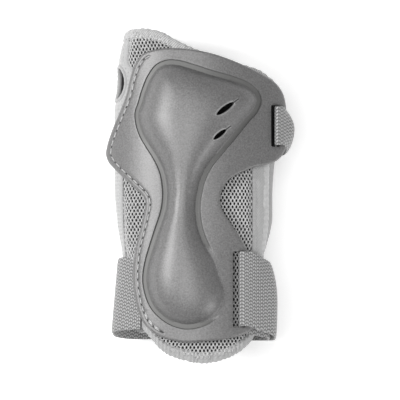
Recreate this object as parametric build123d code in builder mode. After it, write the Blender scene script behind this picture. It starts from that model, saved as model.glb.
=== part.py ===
"""A left-hand wrist guard lying on its back: a moulded palm shell on a padded mesh sleeve, with two straps.

Frame, in millimetres: +X to the little-finger side, +Y to the fingers, +Z out of the palm.
The origin is the middle of the footprint, on the surface that the guard lies on.
"""

from build123d import *

import math
import os

import numpy as np

# ---------------------------------------------------------------- driving dimensions
PALM_RADIUS = 63.0  # outside of the sleeve across the palm
SLEEVE_TOP = 50.0  # highest line of the sleeve
SLEEVE_BACK = 9.5  # underside of the dorsal panel
AXIS_X = -1.0  # the palm arc's centre
AXIS_Z = SLEEVE_TOP - PALM_RADIUS

MESH_THICK = 1.0
PAD_DEPTH = 3.0  # mesh and foam together
LINING_GAP = 0.1
LINING_THICK = 1.0
GUSSET_THICK = 1.5
THROUGH = PAD_DEPTH + LINING_GAP + LINING_THICK  # the padded sleeve's whole thickness

PALM_SEAM_LEFT = -40.6  # degrees round the palm arc, thumb side
PALM_SEAM_RIGHT = 27.4  # little-finger side
SEAM_DEGREES = 2.2  # width of the tape over a seam
BACK_HALF = 26.0  # half width of the dorsal panel
BACK_END = -73.0  # forearm end of the gussets and dorsal panel
BINDING = 6.0  # width of the tape over a rim
THUMB_PATCH = (-60.0, -35.5, 28.0, 70.0)  # x from, x to, y from, y to: here the knit runs in under the shell
THUMB_HOLE = (61.8, 27.0)  # y, z
THUMB_HOLE_RADII = (9.5, 8.0)
THUMB_TAPE = 3.2  # width of the tape round the hole

LEFT_TAPE = PALM_SEAM_LEFT - SEAM_DEGREES
RIGHT_TAPE = PALM_SEAM_RIGHT + SEAM_DEGREES
NEAR = 42.0  # radii that take in every layer of the palm side
FAR = 130.0

SHELL_THICK = 2.5
SHELL_AXIS = (0.6, -12.1)  # centre of the shell's own arc
SHELL_INSIDE = 63.6

WRIST_STRAP = dict(width=40.0, thick=1.6, middle=-51.1, level=50.0, slant=0.15)
HAND_STRAP = dict(width=21.0, thick=1.4, middle=37.7, level=38.0, slant=0.08)
WRIST_SLOT = (18.0, 24.5, -71.9, -30.3)  # x from, x to, y from, y to
HAND_SLOT = (38.4, 43.4, 26.2, 49.2)
SLOT_CORNER = 0.8
VENTS = [(13.4, 45.0, 5.6, 1.6, 35.0), (10.5, 31.2, 4.4, 1.2, 38.0)]  # x, y, half length, half width, turn
PATCH_THICK = 0.8
BAND_Z = 4.7  # both straps' own level where they pass behind the guard

SPLINT_POCKET = (38.0, 132.0, 3.7)  # width, length, depth
POCKET_CLOTH = 1.0
POCKET_HEM = 4.0
SPLINT = (25.0, 118.0, 2.0)
BACK_MIDDLE = -3.0  # y of the pocket's and splint's middle

STITCH_PITCH = 4.3
STITCH_LENGTH = 3.5
STITCH_RADIUS = 0.45
STITCH_INSET = 2.7

SHELL_OUTLINE = [
    (-22.8, 78.5), (-33.0, 74.0), (-38.0, 63.5), (-42.5, 48.5), (-49.0, 33.0), (-51.5, 23.0),
    (-47.0, 15.0), (-34.5, 2.8), (-29.4, -5.5), (-32.0, -18.5), (-35.4, -32.5), (-36.3, -46.5),
    (-33.8, -61.5), (-26.5, -73.6), (-12.0, -79.3), (5.0, -79.2), (20.0, -76.8), (30.0, -69.0),
    (34.0, -54.0), (31.0, -38.0), (22.0, -24.3), (12.5, -10.0), (11.4, 0.8), (18.5, 9.8),
    (32.0, 15.4), (44.0, 21.0), (47.2, 30.0), (47.2, 45.0), (44.8, 56.8), (34.0, 65.1),
    (14.0, 73.5), (-5.0, 78.0),
]  # fmt: skip
# y, left foot, right foot and height of the raised bulb over the flange
BULB_STATIONS = [
    (72.0, -21.0, -9.0, 1.0), (68.0, -26.5, 5.0, 4.2), (60.0, -31.0, 28.0, 7.8),
    (50.0, -34.0, 35.0, 9.9), (38.0, -35.0, 29.0, 10.4), (26.0, -29.5, 21.0, 9.3),
    (14.0, -23.3, 12.0, 7.3), (2.0, -20.5, 5.2, 5.3), (-12.0, -22.2, 4.2, 5.2),
    (-26.0, -27.0, 9.0, 6.6), (-40.0, -30.5, 14.5, 8.0), (-52.0, -30.5, 16.6, 8.4),
    (-62.0, -26.0, 14.5, 6.8), (-69.0, -19.5, 9.0, 3.8), (-72.5, -13.0, 1.0, 1.0),
]  # fmt: skip
ARCH_POWER = 3.0  # 2 is a plain arch; more makes its sides steeper
BULB_FOOT = 20.0
SHELL_FOOT = 5.0  # cuts through the shell start at this level
SHELL_REACH = 80.0  # and are this tall
HAND_RIM = [
    (-60, 89), (-37, 90.5), (-24, 88.8), (-12, 82.5), (2, 76.3), (20, 71), (34, 67), (43, 60),
    (50, 48), (60, 40),
]  # fmt: skip
FOREARM_RIM = [
    (-60, -60), (-38, -64), (-28.6, -75), (-19, -85), (-8, -89.1), (1.6, -90.5), (13.5, -88.3),
    (24.3, -82.4), (31, -74), (38, -65), (60, -58),
]  # fmt: skip


def ease(t):
    """Goes smoothly from 0 to 1 as t does."""
    t = min(1.0, max(0.0, t))
    return t * t * (3 - 2 * t)


# ---------------------------------------------------------------- the sleeve's own form
def sleeve_side(y, side):
    """How far the sleeve reaches from the palm arc's centre at y; side is -1 for the thumb side."""
    if side < 0:
        return 32 + 13 * ease((y + 92) / 100) - 6 * ease((y - 60) / 36)
    return 33.5 + 7 * ease((y + 45) / 35) + 4.2 * ease(y / 50)


def side_radius(reach):
    """The radius of the side arc that meets both the palm arc and the flat back."""
    rise = SLEEVE_BACK - AXIS_Z
    b = rise + PALM_RADIUS - reach
    return -b + math.sqrt(b * b - rise**2 - reach**2 + PALM_RADIUS**2)


def sleeve_section(y, depth):
    """The sleeve's cross-section at y, moved inward by depth, as a face in its own plane."""
    corners = {}
    for side in (-1, 1):
        reach = sleeve_side(y, side)
        r = side_radius(reach)
        lean = math.asin((reach - r) / (PALM_RADIUS - r))
        middle = (AXIS_X + side * (reach - r), SLEEVE_BACK + r)
        r -= depth
        half = (lean + math.pi) / 2
        corners[side] = [
            (middle[0] + side * r * math.sin(a), middle[1] + r * math.cos(a))
            for a in (lean, half, math.pi)
        ]
    with BuildSketch(Plane.XZ.offset(-y)) as section:
        with BuildLine():
            ThreePointArc(corners[-1][0], (AXIS_X, SLEEVE_TOP - depth), corners[1][0])
            ThreePointArc(*corners[1])
            Line(corners[1][2], corners[-1][2])
            ThreePointArc(*reversed(corners[-1]))
        make_face()
    return section.sketch


def sleeve_body(depth):
    """The whole sleeve, solid, moved inward by depth."""
    stations = (-95, -70, -45, -32, -20, -8, 10, 30, 58, 76, 95)
    with BuildPart() as body:
        loft(sections=[sleeve_section(y, depth) for y in stations])
    return body.part


def forearm_side(rim, shift=0.0):
    """Everything on the forearm side of a rim curve, once it is moved by shift along the guard."""
    rim = [(x, y + shift) for x, y in rim]
    with BuildPart() as block:
        with BuildSketch(Plane.XY.offset(-FAR)):
            with BuildLine():
                edge = Spline(*rim)
                Polyline(edge @ 0, (rim[0][0], -2 * FAR), (rim[-1][0], -2 * FAR), edge @ 1)
            make_face()
        extrude(amount=2 * FAR)
    return block.part


def along_y(points, y_from=-150.0, y_to=150.0):
    """A block along Y over a polygon in X and Z."""
    with BuildPart() as block:
        with BuildSketch(Plane.XZ.offset(-y_to)):
            with BuildLine():
                Polyline(*points, close=True)
            make_face()
        extrude(amount=y_to - y_from)
    return block.part


def square(x_from, x_to, z_from, z_to):
    return [(x_from, z_from), (x_from, z_to), (x_to, z_to), (x_to, z_from)]


def on_arc(degrees, radius):
    a = math.radians(degrees)
    return AXIS_X + radius * math.sin(a), AXIS_Z + radius * math.cos(a)


def sector(first, last):
    """The sector of the palm arc between two angles, the full length of the guard."""
    middle = (first + last) / 2
    near = [on_arc(a, NEAR) for a in (last, middle, first)]
    return along_y([on_arc(first, FAR), on_arc(middle, FAR), on_arc(last, FAR)] + near)


def layer(outer, inner):
    """One layer of the sleeve, all the way round, between two depths."""
    whole = sleeve_body(outer)
    core = sleeve_body(inner)
    with BuildPart() as ring:
        add(whole)
        add(core, mode=Mode.SUBTRACT)
    return ring.part


palm_sector = sector(PALM_SEAM_LEFT, PALM_SEAM_RIGHT)
thumb_seam = sector(LEFT_TAPE, PALM_SEAM_LEFT)
side_seam = sector(PALM_SEAM_RIGHT, RIGHT_TAPE)
taped_sector = sector(LEFT_TAPE, RIGHT_TAPE)

BACK_TOP = 20.0  # the dorsal panel lies under this level
dorsal_side = along_y(square(-BACK_HALF, BACK_HALF, 0, BACK_TOP))
left_edge = on_arc(LEFT_TAPE, FAR)
right_edge = on_arc(RIGHT_TAPE, FAR)
left_side = along_y(
    [(-BACK_HALF, -5), (-BACK_HALF, 12), on_arc(LEFT_TAPE, 40), left_edge, (-FAR, left_edge[1]), (-FAR, -5)]
)
right_side = along_y(
    [(BACK_HALF, -5), (BACK_HALF, BACK_TOP), on_arc(RIGHT_TAPE, 50), right_edge, (FAR, right_edge[1]), (FAR, -5)]
)
patch_left, patch_right, patch_low, patch_high = THUMB_PATCH
thumb_patch = along_y(square(patch_left, patch_right, SLEEVE_BACK + 15, FAR), patch_low, patch_high)
with BuildPart() as thumb_side:
    add(left_side)
    add(thumb_patch)

everywhere = square(-FAR, FAR, -FAR, FAR)
past_back_end = along_y(everywhere, y_to=BACK_END)
past_back_tape = along_y(everywhere, y_to=BACK_END + BINDING)
hand_rim = forearm_side(HAND_RIM)
hand_tape = forearm_side(HAND_RIM, -BINDING)
forearm_rim = forearm_side(FOREARM_RIM)
forearm_tape = forearm_side(FOREARM_RIM, BINDING)

skin = layer(0, MESH_THICK)
foam = layer(MESH_THICK, PAD_DEPTH)
lining = layer(PAD_DEPTH + LINING_GAP, THROUGH)
stretch = layer(0, GUSSET_THICK)
rim_depth = layer(0, THROUGH)


# ---------------------------------------------------------------- the moulded palm shell
def shell_height(x, over):
    """The height at x of the arc that lies this far over the shell's inner face."""
    return SHELL_AXIS[1] + math.sqrt((SHELL_INSIDE + over) ** 2 - (x - SHELL_AXIS[0]) ** 2)


def bulb(wall):
    """The raised bulb as a solid block, its face moved inward by wall."""
    with BuildPart() as block:
        for y, x_left, x_right, height in BULB_STATIONS:
            left = x_left + wall
            right = x_right - wall
            arch = []
            for t in (0, 0.06, 0.2, 0.5, 0.8, 0.94, 1):
                x = left + (right - left) * t
                rise = height * (1 - abs(2 * t - 1) ** ARCH_POWER)
                arch.append((x, shell_height(x, SHELL_THICK) - wall + rise))
            with BuildSketch(Plane.XZ.offset(-y)):
                with BuildLine():
                    Spline(*arch)
                    Polyline(arch[-1], (right, BULB_FOOT), (left, BULB_FOOT), arch[0])
                make_face()
        loft()
    return block.part


bulb_outside = bulb(0)
bulb_inside = bulb(SHELL_THICK)
with BuildPart() as palm_shell:
    with BuildSketch(Plane.XY.offset(SHELL_FOOT)):
        with BuildLine():
            Spline(*SHELL_OUTLINE, periodic=True)
        make_face()
    extrude(amount=SHELL_REACH)
    with BuildSketch(Plane.XZ.offset(-FAR)):
        with Locations(SHELL_AXIS):
            Circle(SHELL_INSIDE + SHELL_THICK)
    extrude(amount=2 * FAR, mode=Mode.INTERSECT)
    add(bulb_outside)
    with BuildSketch(Plane.XZ.offset(-FAR)):
        with Locations(SHELL_AXIS):
            Circle(SHELL_INSIDE)
    extrude(amount=2 * FAR, mode=Mode.SUBTRACT)
    add(bulb_inside, mode=Mode.SUBTRACT)
    with BuildSketch(Plane.XY.offset(SHELL_FOOT)):
        for x_from, x_to, y_from, y_to in (WRIST_SLOT, HAND_SLOT):
            with Locations(((x_from + x_to) / 2, (y_from + y_to) / 2)):
                RectangleRounded(x_to - x_from, y_to - y_from, SLOT_CORNER)
        for x, y, half_length, half_width, turn in VENTS:
            with Locations(Location((x, y, 0), (0, 0, turn))):
                Ellipse(half_length, half_width)
    extrude(amount=SHELL_REACH, mode=Mode.SUBTRACT)


def outline_points(points, count):
    """Evenly counted points on the closed spline through points."""
    with BuildLine() as line:
        Spline(*points, periodic=True)
    return np.array([tuple(line.line @ (i / count))[:2] for i in range(count)])


def stitch_places():
    """The two ends of each stitch down the thumb side of the shell, on its outer face."""
    outline = outline_points(SHELL_OUTLINE, 1200)
    ahead = np.roll(outline, -1, 0) - np.roll(outline, 1, 0)
    inward = np.stack([-ahead[:, 1], ahead[:, 0]], 1) / np.linalg.norm(ahead, axis=1)[:, None]
    line = outline + inward * STITCH_INSET
    first = int(np.argmin(np.hypot(line[:, 0] + 26.0, line[:, 1] - 74.0)))
    last = int(np.argmin(np.hypot(line[:, 0] + 19.0, line[:, 1] + 75.0)))
    line = line[first:last]
    along = np.concatenate([[0], np.cumsum(np.hypot(*np.diff(line, axis=0).T))])
    for start in np.arange(0, along[-1] - STITCH_LENGTH, STITCH_PITCH):
        ends = []
        for at in (start, start + STITCH_LENGTH):
            x = float(np.interp(at, along, line[:, 0]))
            y = float(np.interp(at, along, line[:, 1]))
            ends.append(Vector(x, y, shell_height(x, SHELL_THICK + STITCH_RADIUS + 0.05)))
        yield ends


with BuildPart() as shell_stitches:
    for tail, tip in stitch_places():
        with Locations(Plane(origin=(tail + tip) / 2, z_dir=tip - tail)):
            Cylinder(STITCH_RADIUS, (tip - tail).length)


# ---------------------------------------------------------------- straps
def strap_solid(strap, points, radii):
    """Webbing along a route in X and Z; its two edges lean towards the forearm behind the guard."""
    low, high = (strap["middle"] + sign * strap["width"] / 2 for sign in (-1, 1))
    shift = strap["slant"] * 100
    with BuildPart() as webbing:
        with BuildSketch(Plane.XZ.offset(100)):
            with BuildLine():
                if radii:
                    FilletPolyline(*points, radius=radii)
                else:
                    Line(*points)
            trace(line_width=strap["thick"])
        extrude(amount=-200)
        with BuildSketch(Plane.YZ.offset(-80)):
            with BuildLine():
                Polyline(
                    (low - shift, strap["level"] - 100),
                    (high - shift, strap["level"] - 100),
                    (high + shift, strap["level"] + 100),
                    (low + shift, strap["level"] + 100),
                    close=True,
                )
            make_face()
        extrude(amount=160, mode=Mode.INTERSECT)
    return webbing.part


def patch_solid(strap, x_from, x_to, z_from, inset=1.5):
    """A rectangle of hook or loop tape on a strap behind the guard, in line with it."""
    middle = strap["middle"] + strap["slant"] * (z_from + PATCH_THICK / 2 - strap["level"])
    with BuildPart() as patch:
        with BuildSketch(Plane.XY.offset(z_from)):
            with Locations(((x_from + x_to) / 2, middle)):
                Rectangle(x_to - x_from, strap["width"] - 2 * inset)
        extrude(amount=PATCH_THICK)
    return patch.part


wrist_band = strap_solid(
    WRIST_STRAP,
    [
        (-31.0, 41.35), (-46.2, 33.0), (-44.6, BAND_Z), (37.4, BAND_Z), (37.4, 38.4),
        (21.7, 46.75), (21.7, 52.3), (25.3, 50.75),
    ],
    [9.0, 14.0, 14.0, 5.0, 1.5, 1.3],
)  # fmt: skip
wrist_free = strap_solid(WRIST_STRAP, [(27.7, 49.6), (41.2, 43.2), (41.2, 0.8), (29.0, 0.8)], [7.0, 12.0])
wrist_tail = strap_solid(WRIST_STRAP, [(26.6, 0.8), (-20.0, 0.8)], [])

hand_band = strap_solid(
    HAND_STRAP,
    [(-24.0, BAND_Z), (46.1, BAND_Z), (46.1, 27.0), (41.2, 35.8), (41.2, 43.9), (42.55, 42.55)],
    [12.0, 4.0, 1.5, 0.75],
)
hand_free = strap_solid(HAND_STRAP, [(44.0, 40.7), (51.1, 33.4), (51.1, 0.7), (38.9, 0.7)], [8.0, 12.0])
hand_tail = strap_solid(HAND_STRAP, [(36.5, 0.7), (-14.0, 0.7)], [])


# ---------------------------------------------------------------- pieces, one node each
def write(name, part):
    """Labels a finished piece and writes its file."""
    part.label = name
    export_step(part, f"parts/{name}.step")


def panel(name, cloth, within, without=()):
    """A piece cut from one layer of the sleeve: inside each block of within and outside each of without."""
    with BuildPart() as cut:
        add(cloth)
        for block in within:
            add(block, mode=Mode.INTERSECT)
        for block in without:
            add(block, mode=Mode.SUBTRACT)
    write(name, cut.part)


os.makedirs("parts", exist_ok=True)

write("palm_shell", palm_shell.part)
write("shell_stitches", shell_stitches.part)

# The strap's sewn end and the strap under the shell's bar press into the padding.
off_palm = [forearm_tape, thumb_patch]
panel("palm_mesh", skin, [palm_sector, hand_tape], [*off_palm, wrist_band])
panel("palm_foam", foam, [palm_sector, hand_tape], [*off_palm, wrist_band])
panel("palm_lining", lining, [palm_sector, hand_tape], off_palm)

panel("dorsal_panel", skin, [dorsal_side, hand_tape], [past_back_tape])
panel("dorsal_foam", foam, [dorsal_side, hand_tape], [past_back_tape])
panel("dorsal_lining", lining, [dorsal_side, hand_tape], [past_back_tape])

hole_length, hole_height = THUMB_HOLE_RADII
with BuildPart() as thumb_opening:
    with BuildSketch(Plane.YZ.offset(-FAR)):
        with Locations(THUMB_HOLE):
            Ellipse(hole_length, hole_height)
    extrude(amount=FAR)
with BuildPart() as thumb_ring:
    with BuildSketch(Plane.YZ.offset(-FAR)):
        with Locations(THUMB_HOLE):
            Ellipse(hole_length + THUMB_TAPE, hole_height + THUMB_TAPE)
    extrude(amount=FAR)
panel("thumb_gusset", stretch, [thumb_side.part, hand_tape], [past_back_tape, thumb_ring.part])
panel("thumb_hole_binding", stretch, [thumb_side.part, hand_tape, thumb_ring.part], [thumb_opening.part])
panel("side_gusset", stretch, [right_side, hand_tape], [past_back_tape])

panel("thumb_seam_binding", stretch, [thumb_seam, hand_tape], [past_back_end, thumb_patch])
panel("side_seam_binding", stretch, [side_seam, hand_tape], [past_back_end, wrist_band])
panel("hand_end_binding", rim_depth, [hand_rim], [hand_tape])
panel("forearm_end_binding", rim_depth, [palm_sector, forearm_tape], [forearm_rim])
panel("back_end_binding", rim_depth, [past_back_tape], [past_back_end, taped_sector])

pocket_width, pocket_length, pocket_depth = SPLINT_POCKET
pocket_low = SLEEVE_BACK - pocket_depth
with BuildPart() as splint_pocket:
    with BuildSketch(Plane.XY.offset(pocket_low)):
        with Locations((0, BACK_MIDDLE)):
            RectangleRounded(pocket_width, pocket_length, 6)
    extrude(amount=pocket_depth)
    with BuildSketch(Plane.XY.offset(pocket_low + POCKET_CLOTH)):
        with Locations((0, BACK_MIDDLE)):
            RectangleRounded(pocket_width - 2 * POCKET_HEM, pocket_length - 2 * POCKET_HEM, 4)
    extrude(amount=pocket_depth - POCKET_CLOTH, mode=Mode.SUBTRACT)
write("splint_pocket", splint_pocket.part)

splint_width, splint_length, splint_thick = SPLINT
with BuildPart() as dorsal_splint:
    with BuildSketch(Plane.XY.offset(pocket_low + POCKET_CLOTH + 0.2)):
        with Locations((0, BACK_MIDDLE)):
            RectangleRounded(splint_width, splint_length, 10)
    extrude(amount=splint_thick)
write("dorsal_splint", dorsal_splint.part)

write("wrist_strap_band", wrist_band)
write("wrist_strap_free", wrist_free)
write("wrist_strap_tail", wrist_tail)
write("hand_strap_band", hand_band)
write("hand_strap_free", hand_free)
write("hand_strap_tail", hand_tail)

wrist_half, hand_half = (strap["thick"] / 2 for strap in (WRIST_STRAP, HAND_STRAP))
write("wrist_loop_patch", patch_solid(WRIST_STRAP, -30.0, 22.0, BAND_Z - wrist_half - PATCH_THICK))
write("wrist_hook_patch", patch_solid(WRIST_STRAP, -17.0, 15.0, WRIST_STRAP["thick"]))
write("hand_loop_patch", patch_solid(HAND_STRAP, -20.0, 26.0, BAND_Z - hand_half - PATCH_THICK))
write("hand_hook_patch", patch_solid(HAND_STRAP, -12.0, 14.0, HAND_STRAP["thick"]))

TACK = (2.4, 1.6, 0.35)
tack_length, tack_width, tack_thick = TACK
with BuildPart() as hand_strap_tacks:
    with BuildSketch(Plane.XY.offset(BAND_Z - hand_half - tack_thick - 0.05)):
        with Locations((-22.3, 35.2)):
            with GridLocations(0, 6, 1, 3):
                Rectangle(tack_length, tack_width)
    extrude(amount=tack_thick)
write("hand_strap_tacks", hand_strap_tacks.part)
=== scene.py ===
import math

import bpy
import numpy as np
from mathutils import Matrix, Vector, kdtree
from mathutils.geometry import delaunay_2d_cdt


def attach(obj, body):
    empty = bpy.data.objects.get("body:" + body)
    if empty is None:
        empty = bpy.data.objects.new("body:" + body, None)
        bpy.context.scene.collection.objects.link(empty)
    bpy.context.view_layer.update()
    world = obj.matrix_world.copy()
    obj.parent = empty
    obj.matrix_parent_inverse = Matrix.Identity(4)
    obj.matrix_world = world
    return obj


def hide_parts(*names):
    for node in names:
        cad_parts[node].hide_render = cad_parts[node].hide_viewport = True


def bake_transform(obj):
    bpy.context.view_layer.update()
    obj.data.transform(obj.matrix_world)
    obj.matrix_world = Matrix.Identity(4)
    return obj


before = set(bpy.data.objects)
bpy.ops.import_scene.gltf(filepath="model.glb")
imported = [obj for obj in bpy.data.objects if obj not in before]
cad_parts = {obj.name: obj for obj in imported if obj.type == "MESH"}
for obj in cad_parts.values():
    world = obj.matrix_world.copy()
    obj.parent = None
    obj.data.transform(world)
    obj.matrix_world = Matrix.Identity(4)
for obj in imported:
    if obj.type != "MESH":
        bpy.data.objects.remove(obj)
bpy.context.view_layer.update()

MM = 0.001

# ------------------------------------------------------------------ studio
# A white table under three soft boxes. The camera hangs over the palm side, a little
# towards the forearm end, with a long lens.
CAMERA_DISTANCE = 1.4
CAMERA_ELEVATION = math.radians(86.5)
VIEW_WIDTH = 0.2160  # across the frame at the height of the shell
aim = Vector((0.0, -0.003, 0.045))

camera_data = bpy.data.cameras.new("camera")
camera_data.sensor_width = 36.0
camera_data.lens = camera_data.sensor_width * CAMERA_DISTANCE / VIEW_WIDTH
camera = bpy.data.objects.new("camera", camera_data)
towards_camera = Vector((0, -math.cos(CAMERA_ELEVATION), math.sin(CAMERA_ELEVATION)))
camera.location = aim + CAMERA_DISTANCE * towards_camera
camera.rotation_euler = (math.pi / 2 - CAMERA_ELEVATION, 0, 0)
bpy.context.collection.objects.link(camera)
bpy.context.scene.camera = camera


def soft_box(name, place, size, watts):
    """A rectangular lamp that faces the guard."""
    light = bpy.data.lights.new(name, "AREA")
    light.shape = "RECTANGLE"
    light.size, light.size_y = size
    light.energy = watts
    lamp = bpy.data.objects.new(name, light)
    lamp.location = place
    lamp.rotation_euler = (aim - Vector(place)).to_track_quat("-Z", "Y").to_euler()
    bpy.context.collection.objects.link(lamp)


soft_box("overhead_box", (-0.20, -0.02, 1.10), (0.70, 0.70), 5.6)
soft_box("low_left_box", (-0.78, 0.12, 0.64), (0.18, 0.18), 5.4)
soft_box("low_right_box", (0.62, -0.46, 0.42), (0.30, 0.30), 2.0)

world = bpy.data.worlds.new("studio")
world.use_nodes = True
world.node_tree.nodes["Background"].inputs["Color"].default_value = (1, 1, 1, 1)
world.node_tree.nodes["Background"].inputs["Strength"].default_value = 0.36
bpy.context.scene.world = world
bpy.context.scene.view_settings.view_transform = "Standard"


class Value:
    """A number that varies over a surface. Arithmetic on it adds Math nodes."""

    def __init__(self, socket):
        self.socket = socket

    @staticmethod
    def math(operation, *terms):
        tree = next(t for t in terms if isinstance(t, Value)).socket.id_data
        node = tree.nodes.new("ShaderNodeMath")
        node.operation = operation
        for entry, term in zip(node.inputs, terms):
            if isinstance(term, Value):
                tree.links.new(term.socket, entry)
            else:
                entry.default_value = term
        return Value(node.outputs[0])

    def __add__(self, other):
        return Value.math("ADD", self, other)

    def __sub__(self, other):
        return Value.math("SUBTRACT", self, other)

    def __rsub__(self, other):
        return Value.math("SUBTRACT", other, self)

    def __mul__(self, other):
        return Value.math("MULTIPLY", self, other)

    def __truediv__(self, other):
        return Value.math("DIVIDE", self, other)

    def __pow__(self, other):
        return Value.math("POWER", self, other)

    def __abs__(self):
        return Value.math("ABSOLUTE", self)

    def __gt__(self, other):
        return Value.math("GREATER_THAN", self, other)

    __radd__ = __add__
    __rmul__ = __mul__

    def fraction(self):
        return Value.math("FRACT", self)

    def wave(self):
        """0 to 1 and back, once for each whole number."""
        return 0.5 - 0.5 * Value.math("COSINE", self * math.tau)

    def held(self, low=0.0, high=1.0):
        return Value.math("MINIMUM", Value.math("MAXIMUM", self, low), high)


class Finish:
    """A material: one Principled shader, its constants, and the nodes that feed it."""

    def __init__(self, name, **constants):
        self.material = bpy.data.materials.new(name)
        self.material.use_nodes = True
        self.tree = self.material.node_tree
        self.shader = self.tree.nodes["Principled BSDF"]
        for socket, value in constants.items():
            self.shader.inputs[socket.replace("_", " ")].default_value = value

    def node(self, kind, settings, feeds, output=0):
        """Adds a node, with its settings first and then the values or links of its sockets."""
        node = self.tree.nodes.new(kind)
        for setting, value in settings.items():
            setattr(node, setting, value)
        for socket, value in feeds.items():
            self.feed(node.inputs[socket], value)
        return Value(node.outputs[output])

    def feed(self, socket, value):
        """Links a socket to a value, or sets it."""
        if isinstance(value, Value):
            self.tree.links.new(value.socket, socket)
        else:
            socket.default_value = value

    def place(self):
        return self.node("ShaderNodeTexCoord", {}, {}, "Object")

    def cloth_axes(self):
        """Across and along the cloth, in millimetres."""
        uv = self.node("ShaderNodeUVMap", {"uv_map": "cloth"}, {})
        across, along = (self.node("ShaderNodeSeparateXYZ", {}, {0: uv}, axis) for axis in ("X", "Y"))
        return across * (1 / MM), along * (1 / MM)

    def noise(self, pitch_mm, detail=2.0, rough=0.5):
        """Cloudy noise whose lumps are about that far apart."""
        feeds = {"Vector": self.place(), "Scale": 1 / (pitch_mm * MM), "Detail": detail, "Roughness": rough}
        return self.node("ShaderNodeTexNoise", {}, feeds, 0)

    def colour(self, factor, dark, light, tint=(1, 1, 1)):
        """Runs the base colour from a dark grey to a light one."""
        ends = [(*(grey * part for part in tint), 1) for grey in (dark, light)]
        feeds = {0: factor, 6: ends[0], 7: ends[1]}
        mixed = self.node("ShaderNodeMix", {"data_type": "RGBA", "clamp_factor": True}, feeds, 2)
        self.feed(self.shader.inputs["Base Color"], mixed)

    def roughness(self, value):
        self.feed(self.shader.inputs["Roughness"], value)

    def relief(self, height, depth_mm, strength=1.0):
        feeds = {"Height": height, "Distance": depth_mm * MM, "Strength": strength}
        self.feed(self.shader.inputs["Normal"], self.node("ShaderNodeBump", {}, feeds))


def make_piece(name, points, faces, finish, cloth=None, crease=45):
    """A mesh object from points in millimetres; cloth gives each point's place on the cloth."""
    mesh = bpy.data.meshes.new(name)
    mesh.from_pydata((np.asarray(points, float).reshape(-1, 3) * MM).tolist(), [], faces)
    mesh.validate()
    if cloth is not None:
        corner = np.zeros(len(mesh.loops), np.int32)
        mesh.loops.foreach_get("vertex_index", corner)
        layer = mesh.uv_layers.new(name="cloth")
        flat = (np.asarray(cloth, float).reshape(-1, 2) * MM)[corner]
        layer.data.foreach_set("uv", flat.astype(np.float32).ravel())
    mesh.materials.append(finish.material)
    mesh.shade_smooth()
    mesh.set_sharp_from_angle(angle=math.radians(crease))
    piece = bpy.data.objects.new(name, mesh)
    bpy.context.collection.objects.link(piece)
    return piece


table_finish = Finish("white_table", Roughness=0.9)
table_finish.shader.inputs["Specular IOR Level"].default_value = 0.1
table_finish.shader.inputs["Emission Strength"].default_value = 0.36
table_finish.shader.inputs["Emission Color"].default_value = (1, 1, 1, 1)
table_finish.colour(table_finish.noise(40.0), 0.90, 0.92)
table = make_piece(
    "table", [(-2500, -2500, -0.1), (2500, -2500, -0.1), (2500, 2500, -0.1), (-2500, 2500, -0.1)],
    [(0, 1, 2, 3)], table_finish,
)  # fmt: skip

# ------------------------------------------------------------------ palm shell
# One injection-moulded plate of grey filled polyamide, 2.5 mm thick, bent to an arc. A fine
# channel sets off its raised hourglass bulb, and it is cored for two vents and two strap slots.
SHELL_THICK = 2.5
SHELL_AXIS = (0.6, -12.1)
SHELL_RADIUS = 66.1
BULB_RISE = 0.34  # the moulding's height for a swell of 1
BULB_TOP = 9.5  # where its top levels off
BULB_FOOT = 1.3  # the slope it rises at, out of the channel
CHANNEL_WIDTH = 2.8
CHANNEL_DEPTH = 0.9
GROOVE_INSET = 2.7
GROOVE_HALF = 0.32
RIM_ROUND = 1.1
SHELL_OUTLINE = [
    (-22.8, 78.5), (-31.6, 75.8), (-35.6, 70.2), (-37.8, 64.0), (-40.2, 54.3), (-43.4, 46.4),
    (-48.2, 35.4), (-50.9, 27.3), (-51.5, 23.5), (-50.5, 19.7), (-45.9, 13.9), (-38.7, 6.8),
    (-33.1, 1.4), (-30.5, -1.4), (-29.5, -4.1), (-30.3, -10.4), (-32.4, -19.2), (-34.7, -27.8),
    (-35.9, -36.5), (-36.3, -46.0), (-35.1, -55.4), (-33.1, -63.5), (-30.0, -69.9), (-25.2, -74.6),
    (-18.9, -77.7), (-9.3, -79.7), (2.5, -79.3), (14.4, -78.0), (22.4, -76.1), (28.5, -72.5),
    (32.4, -66.5), (34.0, -57.0), (33.6, -46.0), (30.6, -36.5), (25.5, -30.2), (20.7, -22.2),
    (16.0, -15.1), (12.4, -9.5), (10.8, -4.1), (11.2, -0.3), (13.2, 4.6), (16.7, 8.4),
    (22.4, 11.6), (30.2, 14.9), (37.3, 16.7), (41.4, 18.6), (45.3, 22.6), (47.0, 26.0),
    (47.2, 31.0), (47.2, 45.0), (46.6, 51.0), (45.0, 56.2), (41.4, 60.8), (35.0, 64.6),
    (27.0, 68.3), (14.4, 73.3), (6.5, 75.7), (-3.0, 77.7), (-13.3, 78.7),
]  # fmt: skip
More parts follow.
